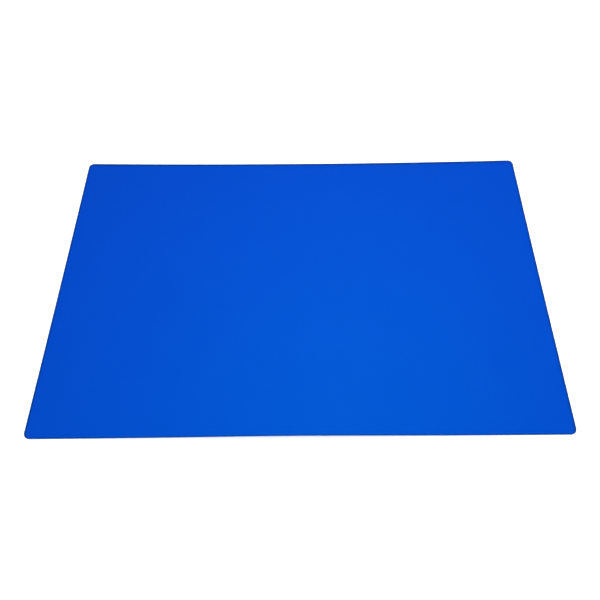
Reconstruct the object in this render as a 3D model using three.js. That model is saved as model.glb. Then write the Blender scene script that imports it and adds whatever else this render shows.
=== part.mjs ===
// Desk pad: one flexible sheet of plain blue vinyl, cut with four round corners.
// The rim is eased all the way round, along the writing face and along the underside.
// The sheet is shown flat, as it lies on a desk.
//
// Millimetres, +Z up. The origin is on the underside, in the middle of the sheet.
// +X runs along the long side, and the user sits at the -Y side.
import * as THREE from "three";

// Sizes of the sheet
const sheetWidth = 600; // along X
const sheetDepth = 400; // along Y
const sheetThickness = 2; // along Z
const cornerRadius = 7; // of the outline, at each of its four corners
const edgeRadius = 0.6; // of the rim, where it turns into each of the two faces
const leastStraightRim = 0.2; // height of rim that stays straight however thin the sheet is

// Fineness of the round stretches
const cornerSteps = 16; // straight steps round one corner of the outline
const edgeSteps = 4; // straight steps round one quarter of the rim

// Colour and finish of the vinyl
const vinyl = new THREE.MeshStandardMaterial({
  color: 0x0552d2,
  roughness: 0.5,
  metalness: 0,
});

// The outline seen from above, counter-clockwise: four straight sides joined by quarter circles.
function sheetOutline() {
  const arcCentreX = sheetWidth / 2 - cornerRadius;
  const arcCentreY = sheetDepth / 2 - cornerRadius;
  const quarter = Math.PI / 2;
  const outline = new THREE.Shape();
  const corners = [
    [arcCentreX, -arcCentreY, -quarter],
    [arcCentreX, arcCentreY, 0],
    [-arcCentreX, arcCentreY, quarter],
    [-arcCentreX, -arcCentreY, 2 * quarter],
  ];
  for (const [x, y, start] of corners) {
    outline.absarc(x, y, cornerRadius, start, start + quarter, false);
  }
  return outline;
}

// The sheet: the outline raised by the thickness, with its rim rounded over within that height.
function makeSheet() {
  const roundOver = Math.min(edgeRadius, (sheetThickness - leastStraightRim) / 2);
  const geometry = new THREE.ExtrudeGeometry(sheetOutline(), {
    depth: sheetThickness - 2 * roundOver,
    curveSegments: cornerSteps / 2, // an arc gets two steps for each of these
    bevelSize: roundOver,
    bevelThickness: roundOver,
    bevelOffset: -roundOver, // so that the rounded rim stays inside the outline
    bevelSegments: edgeSteps,
  });
  const sheet = new THREE.Mesh(geometry, vinyl);
  sheet.name = "pad_sheet";
  sheet.position.z = roundOver; // the underside then lies on the desk, at zero height
  return sheet;
}

const deskPad = new THREE.Group();
deskPad.name = "desk_pad";
deskPad.add(makeSheet());

export default deskPad;
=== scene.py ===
"""Looks of a desk pad: one flexible sheet of plain blue vinyl on a white studio floor.

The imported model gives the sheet's sizes. The sheet is modelled anew the way it lies when nothing
weighs on it: its two back corners and the middle of its front edge stand a few millimetres high.

Metres, +Z up. +X runs along the long side of the pad, and +Y away from the user.
"""

import logging
import math
from dataclasses import dataclass, field
from enum import Enum

import bpy
from mathutils import Matrix, Vector


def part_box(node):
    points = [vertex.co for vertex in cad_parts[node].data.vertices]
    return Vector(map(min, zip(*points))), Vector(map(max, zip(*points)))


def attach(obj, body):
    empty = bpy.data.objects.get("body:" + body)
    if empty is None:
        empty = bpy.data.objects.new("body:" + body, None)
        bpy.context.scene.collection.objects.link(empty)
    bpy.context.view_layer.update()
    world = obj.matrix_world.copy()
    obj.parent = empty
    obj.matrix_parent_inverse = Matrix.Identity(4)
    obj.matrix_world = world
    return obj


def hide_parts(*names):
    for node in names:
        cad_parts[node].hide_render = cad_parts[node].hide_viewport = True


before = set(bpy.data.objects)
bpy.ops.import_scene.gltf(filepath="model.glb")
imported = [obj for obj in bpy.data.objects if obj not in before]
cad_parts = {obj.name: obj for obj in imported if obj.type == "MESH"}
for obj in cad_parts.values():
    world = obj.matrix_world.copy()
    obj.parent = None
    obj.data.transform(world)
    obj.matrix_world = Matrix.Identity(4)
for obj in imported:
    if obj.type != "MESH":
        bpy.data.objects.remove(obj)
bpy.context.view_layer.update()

log = logging.getLogger("desk_pad")

Tint = tuple[float, float, float]  # red, green and blue, from 0 to 1
Place = tuple[float, float, float]  # x, y and z, in metres

MILLIMETRE = 0.001
TOUCHING = 0.001 * MILLIMETRE  # points closer together than this count as one
MATRIX_ROWS = 4  # of a matrix that both turns and moves
MIDDLE: Place = (0.0, 0.0, 0.0)  # of the pad, on the floor
WHITE: Tint = (1.0, 1.0, 1.0)
OPAQUE = 1.0  # what a colour socket takes after red, green and blue
PAINTED_RIM_SHADE = "painted_rim_shade_inset"  # the attribute that is 0 on the outline and 1 where the painted shade along the rim ends


class Op(Enum):
    """What a node tree does here with one number or two."""

    ADD = "ADD"
    SUBTRACT = "SUBTRACT"
    MULTIPLY = "MULTIPLY"
    DIVIDE = "DIVIDE"
    LEAST = "MINIMUM"
    MOST = "MAXIMUM"
    ABSOLUTE = "ABSOLUTE"
    SIGN = "SIGN"
    SINE = "SINE"
    COSINE = "COSINE"
    ROOT = "SQRT"
    EXPONENT = "EXPONENT"
    ABOVE = "GREATER_THAN"


class Slope(Enum):
    """How one range of numbers runs into another."""

    STRAIGHT = "LINEAR"
    SOFT = "SMOOTHSTEP"


class SocketKind(Enum):
    """The kinds of input that a geometry tree takes."""

    LENGTH = "NodeSocketFloat"
    COUNT = "NodeSocketInt"
    MATERIAL = "NodeSocketMaterial"


class Number:
    """A number that a node tree works out. Formulas are written with it as with plain numbers."""

    def __init__(self, tree: "TreeBuilder", socket: bpy.types.NodeSocket) -> None:
        """Take up an output.

        Args:
            tree: The builder of the tree that the output is in.
            socket: The output that holds the number.
        """
        self.tree = tree
        self.socket = socket

    def __add__(self, other: "Feed") -> "Number":
        """Add another number to this one."""
        return self.tree.math(Op.ADD, self, other)

    def __sub__(self, other: "Feed") -> "Number":
        """Take another number from this one."""
        return self.tree.math(Op.SUBTRACT, self, other)

    def __rsub__(self, other: float) -> "Number":
        """Take this number from a plain one."""
        return self.tree.math(Op.SUBTRACT, other, self)

    def __mul__(self, other: "Feed") -> "Number":
        """Multiply the two numbers."""
        return self.tree.math(Op.MULTIPLY, self, other)

    def __truediv__(self, other: "Feed") -> "Number":
        """Divide this number by another. Division by zero gives zero."""
        return self.tree.math(Op.DIVIDE, self, other)

    def __abs__(self) -> "Number":
        """Drop the sign."""
        return self.tree.math(Op.ABSOLUTE, self)

    def squared(self) -> "Number":
        """Multiply the number by itself."""
        return self * self


Feed = Number | bpy.types.NodeSocket | str | float | tuple | None


class TreeBuilder:
    """Adds nodes to a tree and links them."""

    def __init__(self, tree: bpy.types.NodeTree) -> None:
        """Start on a tree.

        Args:
            tree: The tree that the nodes go into.
        """
        self.tree = tree

    def feed(self, socket: bpy.types.NodeSocket, value: Feed) -> None:
        """Link a socket, or set its own value.

        Args:
            socket: The input to feed.
            value: A number or output of the tree, or a plain value. None leaves the input as it is.
        """
        if isinstance(value, Number):
            value = value.socket
        if isinstance(value, bpy.types.NodeSocket):
            self.tree.links.new(value, socket)
        elif value is not None:
            socket.default_value = value

    def add(self, kind: str, feeds: dict[str, Feed] | None = None, **settings: object) -> bpy.types.Node:
        """Add a node.

        Args:
            kind: Blender's name for the node.
            feeds: What goes into its inputs, by their names.
            **settings: The node's own options.

        Returns:
            The new node.
        """
        node = self.tree.nodes.new(kind)
        for name, value in settings.items():
            setattr(node, name, value)
        for name, value in (feeds or {}).items():
            self.feed(node.inputs[name], value)
        return node

    def math(self, op: Op, *values: Feed) -> Number:
        """Work out one number from others.

        Args:
            op: What is done with them.
            *values: One or two numbers.

        Returns:
            The result.
        """
        node = self.add("ShaderNodeMath", operation=op.value)
        for socket, value in zip(node.inputs, values):
            self.feed(socket, value)
        return Number(self, node.outputs["Value"])

    def ramp(
        self,
        value: Feed,
        start: Feed,
        end: Feed,
        first: Feed = 0.0,
        last: Feed = 1.0,
        slope: Slope = Slope.STRAIGHT,
    ) -> Number:
        """Turn one range of a number into another, level past both of its ends.

        Args:
            value: The number.
            start: Where in it the range starts.
            end: Where in it the range ends.
            first: The result at the start.
            last: The result at the end.
            slope: How the result runs from the one to the other.

        Returns:
            The result.
        """
        node = self.add(
            "ShaderNodeMapRange",
            {"Value": value, "From Min": start, "From Max": end, "To Min": first, "To Max": last},
            interpolation_type=slope.value,
        )
        return Number(self, node.outputs["Result"])

    def blend(self, share: Feed, first: Feed, second: Feed) -> bpy.types.NodeSocket:
        """Blend two colours.

        Args:
            share: How much of the second colour shows, from 0 to 1.
            first: The colour at 0.
            second: The colour at 1.

        Returns:
            The output that holds the blended colour.
        """
        node = self.add("ShaderNodeMix", data_type="RGBA")
        factor, low, high = (socket for socket in node.inputs if socket.enabled)
        self.feed(factor, share)
        for socket, colour in ((low, first), (high, second)):
            self.feed(socket, (*colour, OPAQUE) if isinstance(colour, tuple) else colour)
        return next(socket for socket in node.outputs if socket.enabled)

    def axes(self, vector: Feed) -> tuple[Number, ...]:
        """Split a vector into its x, y and z."""
        split = self.add("ShaderNodeSeparateXYZ", {"Vector": vector})
        return tuple(Number(self, output) for output in split.outputs)

    def point(self, x: Feed, y: Feed, z: Feed) -> bpy.types.NodeSocket:
        """Join x, y and z into a vector."""
        return self.add("ShaderNodeCombineXYZ", {"X": x, "Y": y, "Z": z}).outputs["Vector"]


@dataclass(frozen=True)
class SheetSize:
    """The sizes of the flat sheet, in metres."""

    width: float
    depth: float
    thickness: float
    corner_radius: float
    edge_radius: float

    @classmethod
    def of_node(cls, node: str) -> "SheetSize":
        """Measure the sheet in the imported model.

        Args:
            node: The name of the sheet's node.

        Returns:
            Its sizes. The straight stretch of the right-hand side ends where the round corner
            starts, and the top face ends where the round-over of the rim starts.
        """
        low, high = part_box(node)
        points = [vertex.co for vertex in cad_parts[node].data.vertices]
        side_end = max(p.y for p in points if p.x > high.x - TOUCHING)
        face_end = max(p.x for p in points if p.z > high.z - TOUCHING)
        return cls(
            width=high.x - low.x,
            depth=high.y - low.y,
            thickness=high.z - low.z,
            corner_radius=high.y - side_end,
            edge_radius=high.x - face_end,
        )


@dataclass(frozen=True)
class SheetLie:
    """How far the relaxed sheet stands off the floor, in metres."""

    back_left: float = 3.4 * MILLIMETRE
    back_right: float = 3.7 * MILLIMETRE
    front: float = 3.4 * MILLIMETRE
    front_place: float = -0.007  # of the front wave's crest, along X
    front_spread: float = 0.130  # from the crest to where the wave is down to a third


@dataclass(frozen=True)
class PaintedRimShade:
    """How far in from each edge the sheet carries painted shade along its rim, in metres: widest along the
    back edge, narrowest along the front.
    """

    sides: float = 2.8 * MILLIMETRE
    back: float = 4.6 * MILLIMETRE
    front: float = 1.3 * MILLIMETRE


@dataclass(frozen=True)
class SheetRows:
    """How finely the sheet is divided."""

    across: int = 95  # rows of points from left to right
    deep: int = 75  # rows of points from front to back
    rim: int = 5  # steps round the quarter circle of the rim
    corner: int = 8  # steps from the rim to the centre of a corner's arc


@dataclass(frozen=True)
class VinylFinish:
    """Plain matt vinyl, coloured right through, with a fine even grain, and painted shade along the rim.
    """

    name: str = "Blue vinyl"
    colour: Tint = (0.0005, 0.0410, 0.502)
    deep_colour: Tint = (0.0005, 0.0390, 0.490)  # where more pigment lies
    rim_shade_colour: Tint = (0.0003, 0.0190, 0.230)  # painted shade, where the rim is darkest
    rim_shade_on_side: float = 0.45  # share of that painted shade on the side of the sheet
    rim_shade_full: float = 0.35  # share of the painted rim shade's stretch after which it has that colour in full
    rim_shade_fade: float = 0.65  # share of the painted rim shade's stretch after which the colour dies away
    gloss_tint: Tint = (0.0, 0.92, 1.0)  # without red, so that the blue stays pure where it shines
    gloss_level: float = 0.5
    refraction: float = 1.5
    roughness_low: float = 0.60
    roughness_high: float = 0.67
    cloud_size: float = 0.12  # of the broad, hardly visible clouds in the pigment
    grain_size: float = 1.0 * MILLIMETRE  # of one grain
    grain_height: float = 0.10 * MILLIMETRE  # from valley to peak
    grain_valley: float = 0.3  # level of the grain's noise that counts as a valley
    grain_peak: float = 0.7  # and as a peak
    finer_layers: float = 1.5  # of smaller clouds or grains, laid over the first ones

    def material(self) -> bpy.types.Material:
        """Make the material.

        Returns:
            A node material whose clouds, grain and darker rim follow the sheet.
        """
        material = bpy.data.materials.new(self.name)
        material.use_nodes = True
        tree = TreeBuilder(material.node_tree)
        shader = material.node_tree.nodes["Principled BSDF"]
        tree.feed(shader.inputs["IOR"], self.refraction)
        tree.feed(shader.inputs["Specular IOR Level"], self.gloss_level)
        tree.feed(shader.inputs["Specular Tint"], (*self.gloss_tint, OPAQUE))
        place = tree.add("ShaderNodeTexCoord").outputs["Object"]
        clouds = self.noise(tree, place, self.cloud_size)
        grain = tree.ramp(self.noise(tree, place, self.grain_size), self.grain_valley, self.grain_peak)
        # painted shade along the rim: the base colour darkens towards the outline and on the sheet's side
        inset = tree.add("ShaderNodeAttribute", attribute_name=PAINTED_RIM_SHADE).outputs["Fac"]
        rim_shade_coming = tree.ramp(inset, 0.0, self.rim_shade_full, self.rim_shade_on_side, 1.0, Slope.SOFT)
        rim_shade_going = tree.ramp(inset, self.rim_shade_fade, 1.0, slope=Slope.SOFT)
        body = tree.blend(clouds, self.deep_colour, self.colour)
        tree.feed(shader.inputs["Base Color"], tree.blend(rim_shade_coming - rim_shade_going, body, self.rim_shade_colour))
        roughness = tree.ramp(grain, 0.0, 1.0, self.roughness_low, self.roughness_high)
        tree.feed(shader.inputs["Roughness"], roughness)
        relief = tree.add("ShaderNodeBump", {"Height": grain, "Distance": self.grain_height})
        tree.feed(shader.inputs["Normal"], relief.outputs["Normal"])
        return material

    def noise(self, tree: TreeBuilder, place: Feed, size: float) -> bpy.types.NodeSocket:
        """Make an even pattern of clouds or grains that is fixed to the sheet.

        Args:
            tree: The builder of the material's tree.
            place: The coordinates that the pattern follows.
            size: The size of one cloud or grain, in metres.

        Returns:
            The output that runs from 0 to 1.
        """
        feeds = {"Vector": place, "Scale": 1 / size, "Detail": self.finer_layers}
        return tree.add("ShaderNodeTexNoise", feeds).outputs["Fac"]


@dataclass(frozen=True)
class TreeInput:
    """One named input of a geometry tree, with the value that this object gives it."""

    name: str
    kind: SocketKind
    value: float | int | bpy.types.Material


@dataclass(frozen=True)
class RowPlace:
    """Where one row of the sheet's points lies along one axis."""

    side: Number  # -1 or 1, on which side of the middle it is
    count: Number  # how many rows lie between it and the sheet's outermost line
    turn: Number  # how far round the rim it is, from 0 at the side to a quarter turn on the face
    inset: Number  # its distance from the straight edge
    within: Number  # its distance from the middle, up to the centre of a corner's arc
    beyond: Number  # its distance past the centre of a corner's arc


@dataclass
class SheetModel:
    """The sheet itself: a flat slab with round corners and a round rim, bent to the way it lies."""

    size: SheetSize
    lie: SheetLie = field(default_factory=SheetLie)
    shade: PaintedRimShade = field(default_factory=PaintedRimShade)
    rows: SheetRows = field(default_factory=SheetRows)
    finish: VinylFinish = field(default_factory=VinylFinish)
    name: str = "blue_vinyl_sheet"

    def inputs(self, material: bpy.types.Material) -> list[TreeInput]:
        """List what the geometry tree is given.

        Args:
            material: The finish of the whole sheet.

        Returns:
            The tree's inputs with their values.
        """
        size, lie, shade, rows = self.size, self.lie, self.shade, self.rows
        length, count = SocketKind.LENGTH, SocketKind.COUNT
        return [
            TreeInput("Width", length, size.width),
            TreeInput("Depth", length, size.depth),
            TreeInput("Thickness", length, size.thickness),
            TreeInput("Corner Radius", length, size.corner_radius),
            TreeInput("Edge Radius", length, size.edge_radius),
            TreeInput("Rows Across", count, rows.across),
            TreeInput("Rows Deep", count, rows.deep),
            TreeInput("Rim Rows", count, rows.rim),
            TreeInput("Corner Rows", count, rows.corner),
            TreeInput("Side Shade", length, shade.sides),
            TreeInput("Back Shade", length, shade.back),
            TreeInput("Front Shade", length, shade.front),
            TreeInput("Back Left Lift", length, lie.back_left),
            TreeInput("Back Right Lift", length, lie.back_right),
            TreeInput("Front Lift", length, lie.front),
            TreeInput("Front Crest Place", length, lie.front_place),
            TreeInput("Front Crest Spread", length, lie.front_spread),
            TreeInput("Finish", SocketKind.MATERIAL, material),
        ]

    def row(
        self, tree: TreeBuilder, given: dict[str, Number], along: Number, rows: Number, extent: Number
    ) -> RowPlace:
        """Place the rows of points along one axis: close together at the rim, wider inside.

        Args:
            tree: The builder of the sheet's tree.
            given: The tree's inputs, by their names.
            along: The plain grid's own coordinate, one unit to a row and 0 in the middle.
            rows: How many rows there are.
            extent: The sheet's extent along this axis.

        Returns:
            The place of each row. The outermost one is the line where the upper and the lower
            half of the sheet meet, and the next one is where the round-over starts.
        """
        middle = (rows - 1.0) * 0.5
        count = middle - abs(along)
        past_side = count - 1.0
        past_rim = past_side - given["Rim Rows"]
        past_corner = past_rim - given["Corner Rows"]
        field_rows = middle - 1.0 - given["Rim Rows"] - given["Corner Rows"]
        turn = tree.ramp(past_side, 0.0, given["Rim Rows"], 0.0, math.pi / 2)
        over_rim = (1.0 - tree.math(Op.COSINE, turn)) * given["Edge Radius"]
        corner_share = tree.ramp(past_rim, 0.0, given["Corner Rows"]).squared()
        over_corner = corner_share * (given["Corner Radius"] - given["Edge Radius"])
        to_arc_centre = extent * 0.5 - given["Corner Radius"]
        over_field = tree.ramp(past_corner, 0.0, field_rows) * to_arc_centre
        inset = over_rim + over_corner + over_field
        reach = extent * 0.5 - inset
        return RowPlace(
            side=tree.math(Op.SIGN, along),
            count=count,
            turn=turn,
            inset=inset,
            within=tree.math(Op.LEAST, reach, to_arc_centre),
            beyond=tree.math(Op.MOST, reach - to_arc_centre, 0.0),
        )

    def flat_shape(self, tree: TreeBuilder, given: dict[str, Number]) -> tuple[Number, ...]:
        """Shape the plain grid into one half of the flat sheet, with its round corners and rim.

        Args:
            tree: The builder of the sheet's tree.
            given: The tree's inputs, by their names.

        Returns:
            For each point of the grid: its x, its y, its height over the middle of the sheet's thickness,
                and how far it lies across the stretch of painted shade along the rim.
        """
        plain_x, plain_y, _ = tree.axes(tree.add("GeometryNodeInputPosition").outputs["Position"])
        across = self.row(tree, given, plain_x, given["Rows Across"], given["Width"])
        deep = self.row(tree, given, plain_y, given["Rows Deep"], given["Depth"])
        outer = tree.math(Op.MOST, across.beyond, deep.beyond)
        straight = tree.math(Op.ROOT, across.beyond.squared() + deep.beyond.squared())
        pull = outer / straight
        x = across.side * (across.within + across.beyond * pull)
        y = deep.side * (deep.within + deep.beyond * pull)
        rise = tree.math(Op.SINE, tree.math(Op.LEAST, across.turn, deep.turn))
        eased = given["Thickness"] * 0.5 - (1.0 - rise) * given["Edge Radius"]
        inside = tree.ramp(tree.math(Op.LEAST, across.count, deep.count), 0.0, 1.0)
        # the painted rim shade reaches furthest in along the back edge and least along the front
        on_back = tree.math(Op.ABOVE, plain_y, 0.0)
        depth_shade = given["Front Shade"] + on_back * (given["Back Shade"] - given["Front Shade"])
        shade = tree.math(Op.LEAST, across.inset / given["Side Shade"], deep.inset / depth_shade)
        return x, y, eased * inside, shade

    def lift(self, tree: TreeBuilder, given: dict[str, Number]) -> Number:
        """Work out how far the relaxed sheet stands off the floor.

        Args:
            tree: The builder of the sheet's tree.
            given: The tree's inputs, by their names.

        Returns:
            The height to add at each point.
        """
        x, y, _ = tree.axes(tree.add("GeometryNodeInputPosition").outputs["Position"])
        sideways = x * 2.0 / given["Width"]
        back = y / given["Depth"] + 0.5
        on_right = tree.math(Op.ABOVE, x, 0.0)
        more_on_right = given["Back Right Lift"] - given["Back Left Lift"]
        corner_lift = given["Back Left Lift"] + on_right * more_on_right
        off_crest = (x - given["Front Crest Place"]) / given["Front Crest Spread"]
        wave = given["Front Lift"] * tree.math(Op.EXPONENT, 0.0 - off_crest.squared())
        return corner_lift * (sideways * back).squared() + wave * (1.0 - back).squared()

    def tree(self, inputs: list[TreeInput]) -> bpy.types.NodeTree:
        """Build the geometry tree.

        Args:
            inputs: The tree's inputs.

        Returns:
            A tree that makes the whole closed sheet from its sizes.
        """
        group = bpy.data.node_groups.new("Relaxed sheet", "GeometryNodeTree")
        for item in inputs:
            group.interface.new_socket(item.name, in_out="INPUT", socket_type=item.kind.value)
        group.interface.new_socket("Sheet", in_out="OUTPUT", socket_type="NodeSocketGeometry")
        tree = TreeBuilder(group)
        given = {out.name: Number(tree, out) for out in tree.add("NodeGroupInput").outputs if out.name}
        grid = tree.add(
            "GeometryNodeMeshGrid",
            {
                "Vertices X": given["Rows Across"],
                "Vertices Y": given["Rows Deep"],
                "Size X": given["Rows Across"] - 1.0,
                "Size Y": given["Rows Deep"] - 1.0,
            },
        ).outputs["Mesh"]
        x, y, half_height, shade = self.flat_shape(tree, given)
        marked = tree.add(
            "GeometryNodeStoreNamedAttribute",
            {"Geometry": grid, "Name": PAINTED_RIM_SHADE, "Value": shade},
            data_type="FLOAT",
            domain="POINT",
        ).outputs["Geometry"]
        middle = given["Thickness"] * 0.5
        upper, lower = (
            tree.add("GeometryNodeSetPosition", {"Geometry": marked, "Position": tree.point(x, y, z)})
            for z in (middle + half_height, middle - half_height)
        )
        turned = tree.add("GeometryNodeFlipFaces", {"Mesh": lower.outputs["Geometry"]})
        join = tree.add("GeometryNodeJoinGeometry")
        tree.feed(join.inputs["Geometry"], turned.outputs["Mesh"])
        tree.feed(join.inputs["Geometry"], upper.outputs["Geometry"])
        closed = tree.add(
            "GeometryNodeMergeByDistance",
            {"Geometry": join.outputs["Geometry"], "Distance": TOUCHING},
        ).outputs["Geometry"]
        bent = tree.add(
            "GeometryNodeSetPosition",
            {"Geometry": closed, "Offset": tree.point(0.0, 0.0, self.lift(tree, given))},
        ).outputs["Geometry"]
        smooth = tree.add("GeometryNodeSetShadeSmooth", {"Geometry": bent}).outputs["Geometry"]
        real = tree.add("GeometryNodeRealizeInstances", {"Geometry": smooth}).outputs["Geometry"]
        dressed = tree.add(
            "GeometryNodeSetMaterial", {"Geometry": real, "Material": given["Finish"]}
        ).outputs["Geometry"]
        tree.add("NodeGroupOutput", {"Sheet": dressed})
        return group

    def build(self) -> bpy.types.Object:
        """Make the sheet as one plain mesh.

        Returns:
            The sheet's object, at the origin, with its finish on.
        """
        inputs = self.inputs(self.finish.material())
        group = self.tree(inputs)
        sheet = bpy.data.objects.new(self.name, bpy.data.meshes.new(self.name))
        bpy.context.scene.collection.objects.link(sheet)
        modifier = sheet.modifiers.new("Relaxed sheet", "NODES")
        modifier.node_group = group
        sockets = {s.name: s.identifier for s in group.interface.items_tree if s.in_out == "INPUT"}
        for item in inputs:
            modifier[sockets[item.name]] = item.value
        graph = bpy.context.evaluated_depsgraph_get()
        mesh = bpy.data.meshes.new_from_object(sheet.evaluated_get(graph))
        sheet.modifiers.clear()
        sheet.data = mesh
        mesh.name = self.name
        return sheet


@dataclass
class DeskPad:
    """The whole pad: its one sheet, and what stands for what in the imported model."""

    size: SheetSize
    body: str = "root"
    slot: str = "blue_vinyl"

    NODE = "pad_sheet"

    def build(self) -> bpy.types.Object:
        """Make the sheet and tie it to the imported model.

        Returns:
            The sheet's object.
        """
        sheet = SheetModel(self.size).build()
        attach(sheet, self.body)
        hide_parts(self.NODE)
        return sheet


@dataclass(frozen=True)
class FloorFinish:
    """Matt white studio floor with a painted glow that grows with the distance from the pad, so that it
    stays white past the lamps, and fades out under the pad's edge.
    """

    name: str = "White floor"
    colour: Tint = (0.94, 0.94, 0.94)
    roughness: float = 0.9
    near_glow: float = 0.35
    far_glow: float = 1.0
    near_reach: float = 0.25  # from the pad to where the glow starts to grow
    far_reach: float = 1.1  # from the pad to where it has grown in full
    shadow_start: float = -1.5 * MILLIMETRE  # under the pad's edge, where the glow starts to fade
    shadow_end: float = -6.0 * MILLIMETRE  # further under it, where there is none

    def material(self, size: SheetSize) -> bpy.types.Material:
        """Make the floor's material.

        Args:
            size: The sizes of the pad that lies on the floor.

        Returns:
            A matt white whose painted glow grows with the distance from the pad, with none under it.
        """
        material = bpy.data.materials.new(self.name)
        material.use_nodes = True
        tree = TreeBuilder(material.node_tree)
        shader = material.node_tree.nodes["Principled BSDF"]
        tree.feed(shader.inputs["Base Color"], (*self.colour, OPAQUE))
        tree.feed(shader.inputs["Roughness"], self.roughness)
        tree.feed(shader.inputs["Specular IOR Level"], 0.0)
        tree.feed(shader.inputs["Emission Color"], (*self.colour, OPAQUE))
        x, y, _ = tree.axes(tree.add("ShaderNodeTexCoord").outputs["Object"])
        off_pad = tree.math(Op.MOST, abs(x) - size.width / 2, abs(y) - size.depth / 2)
        near = tree.ramp(off_pad, self.shadow_end, self.shadow_start, 0.0, self.near_glow)
        more = tree.ramp(off_pad, self.near_reach, self.far_reach, 0.0, self.far_glow - self.near_glow)
        # painted light: the floor glows, though it is no lamp
        tree.feed(shader.inputs["Emission Strength"], near + more)
        return material


@dataclass(frozen=True)
class SoftBox:
    """One square studio lamp, aimed at a point on the pad."""

    name: str
    place: Place
    aim: Place
    width: float
    power: float

    def build(self) -> bpy.types.Object:
        """Hang the lamp.

        Returns:
            The lamp's object.
        """
        light = bpy.data.lights.new(self.name, "AREA")
        light.size = self.width
        light.energy = self.power
        lamp = bpy.data.objects.new(self.name, light)
        lamp.location = self.place
        lamp.rotation_euler = (Vector(self.aim) - Vector(self.place)).to_track_quat("-Z", "Y").to_euler()
        lamp.visible_camera = False
        bpy.context.scene.collection.objects.link(lamp)
        return lamp


@dataclass(frozen=True)
class StudioCamera:
    """The camera, where the photographer held it."""

    place: Place = (0.0136, -0.4108, 0.6319)
    look_down: float = math.radians(58.69)
    tilt: float = math.radians(-0.48)
    lens: float = 36.0  # in millimetres, as Blender takes it
    sensor: float = 36.0
    shift: float = -0.0193

    def build(self) -> bpy.types.Object:
        """Set the camera up and make it the scene's camera.

        Returns:
            The camera's object.
        """
        data = bpy.data.cameras.new("Camera")
        data.lens = self.lens
        data.sensor_width = self.sensor
        data.shift_x = self.shift
        camera = bpy.data.objects.new("Camera", data)
        raised = Matrix.Rotation(math.pi / 2 - self.look_down, MATRIX_ROWS, "X")
        turned = Matrix.Rotation(self.tilt, MATRIX_ROWS, "Z")
        camera.matrix_world = Matrix.Translation(self.place) @ raised @ turned
        bpy.context.scene.collection.objects.link(camera)
        bpy.context.scene.camera = camera
        return camera


@dataclass
class Studio:
    """The white floor, the lamps, the soft light all round, and the camera."""

    pad: SheetSize
    floor_width: float = 12.0
    wall_light: float = 1.0  # of the white walls round the studio
    ceiling_light: float = 0.04  # of its dim ceiling
    ceiling_colour: Tint = (0.0, 0.97, 1.0)  # without red, which would make the blue violet
    wall_top: float = 0.20  # sine of the angle above the horizon where the walls start to fade
    colour_full: float = 0.28  # the same, where the light has the ceiling's colour in full
    ceiling_start: float = 0.42  # the same, where the ceiling has taken over
    floor_finish: FloorFinish = field(default_factory=FloorFinish)
    camera: StudioCamera = field(default_factory=StudioCamera)
    lamps: tuple[SoftBox, ...] = (
        SoftBox("Overhead lamp", place=(0.09, 0.155, 0.975), aim=(0.07, -0.07, 0.0), width=0.3, power=7.4),
        SoftBox("Left softbox", place=(-1.3, -1.4, 2.65), aim=MIDDLE, width=1.4, power=37.0),
        SoftBox("Right softbox", place=(1.15, -1.55, 2.55), aim=MIDDLE, width=1.4, power=26.5),
    )

    def floor(self) -> bpy.types.Object:
        """Lay the floor.

        Returns:
            The floor's object.
        """
        half = self.floor_width / 2
        corners = [(-half, -half, 0.0), (half, -half, 0.0), (half, half, 0.0), (-half, half, 0.0)]
        mesh = bpy.data.meshes.new("floor")
        mesh.from_pydata(corners, [], [(0, 1, 2, 3)])
        mesh.materials.append(self.floor_finish.material(self.pad))
        floor = bpy.data.objects.new("floor", mesh)
        bpy.context.scene.collection.objects.link(floor)
        return floor

    def sky(self) -> bpy.types.World:
        """Make the soft light that comes from all round.

        Returns:
            The world.
        """
        world = bpy.data.worlds.new("Studio")
        world.use_nodes = True
        tree = TreeBuilder(world.node_tree)
        background = world.node_tree.nodes["Background"]
        _, _, height = tree.axes(tree.add("ShaderNodeTexCoord").outputs["Generated"])
        light = tree.ramp(
            height, self.wall_top, self.ceiling_start, self.wall_light, self.ceiling_light, Slope.SOFT
        )
        share = tree.ramp(height, self.wall_top, self.colour_full, slope=Slope.SOFT)
        tree.feed(background.inputs["Color"], tree.blend(share, WHITE, self.ceiling_colour))
        tree.feed(background.inputs["Strength"], light)
        bpy.context.scene.world = world
        return world

    def build(self) -> None:
        """Put the studio up round the pad."""
        self.floor()
        self.sky()
        for lamp in self.lamps:
            lamp.build()
        self.camera.build()
        bpy.context.scene.view_settings.view_transform = "Standard"


def main() -> None:
    """Build the pad and its studio in order, and report each."""
    logging.basicConfig(level=logging.INFO, format="%(name)s: %(message)s")
    size = SheetSize.of_node(DeskPad.NODE)
    sheet = DeskPad(size).build()
    log.info("%s has %d faces", sheet.name, len(sheet.data.polygons))
    Studio(size).build()
    log.info("the studio is up")


if __name__ == "__main__":
    main()
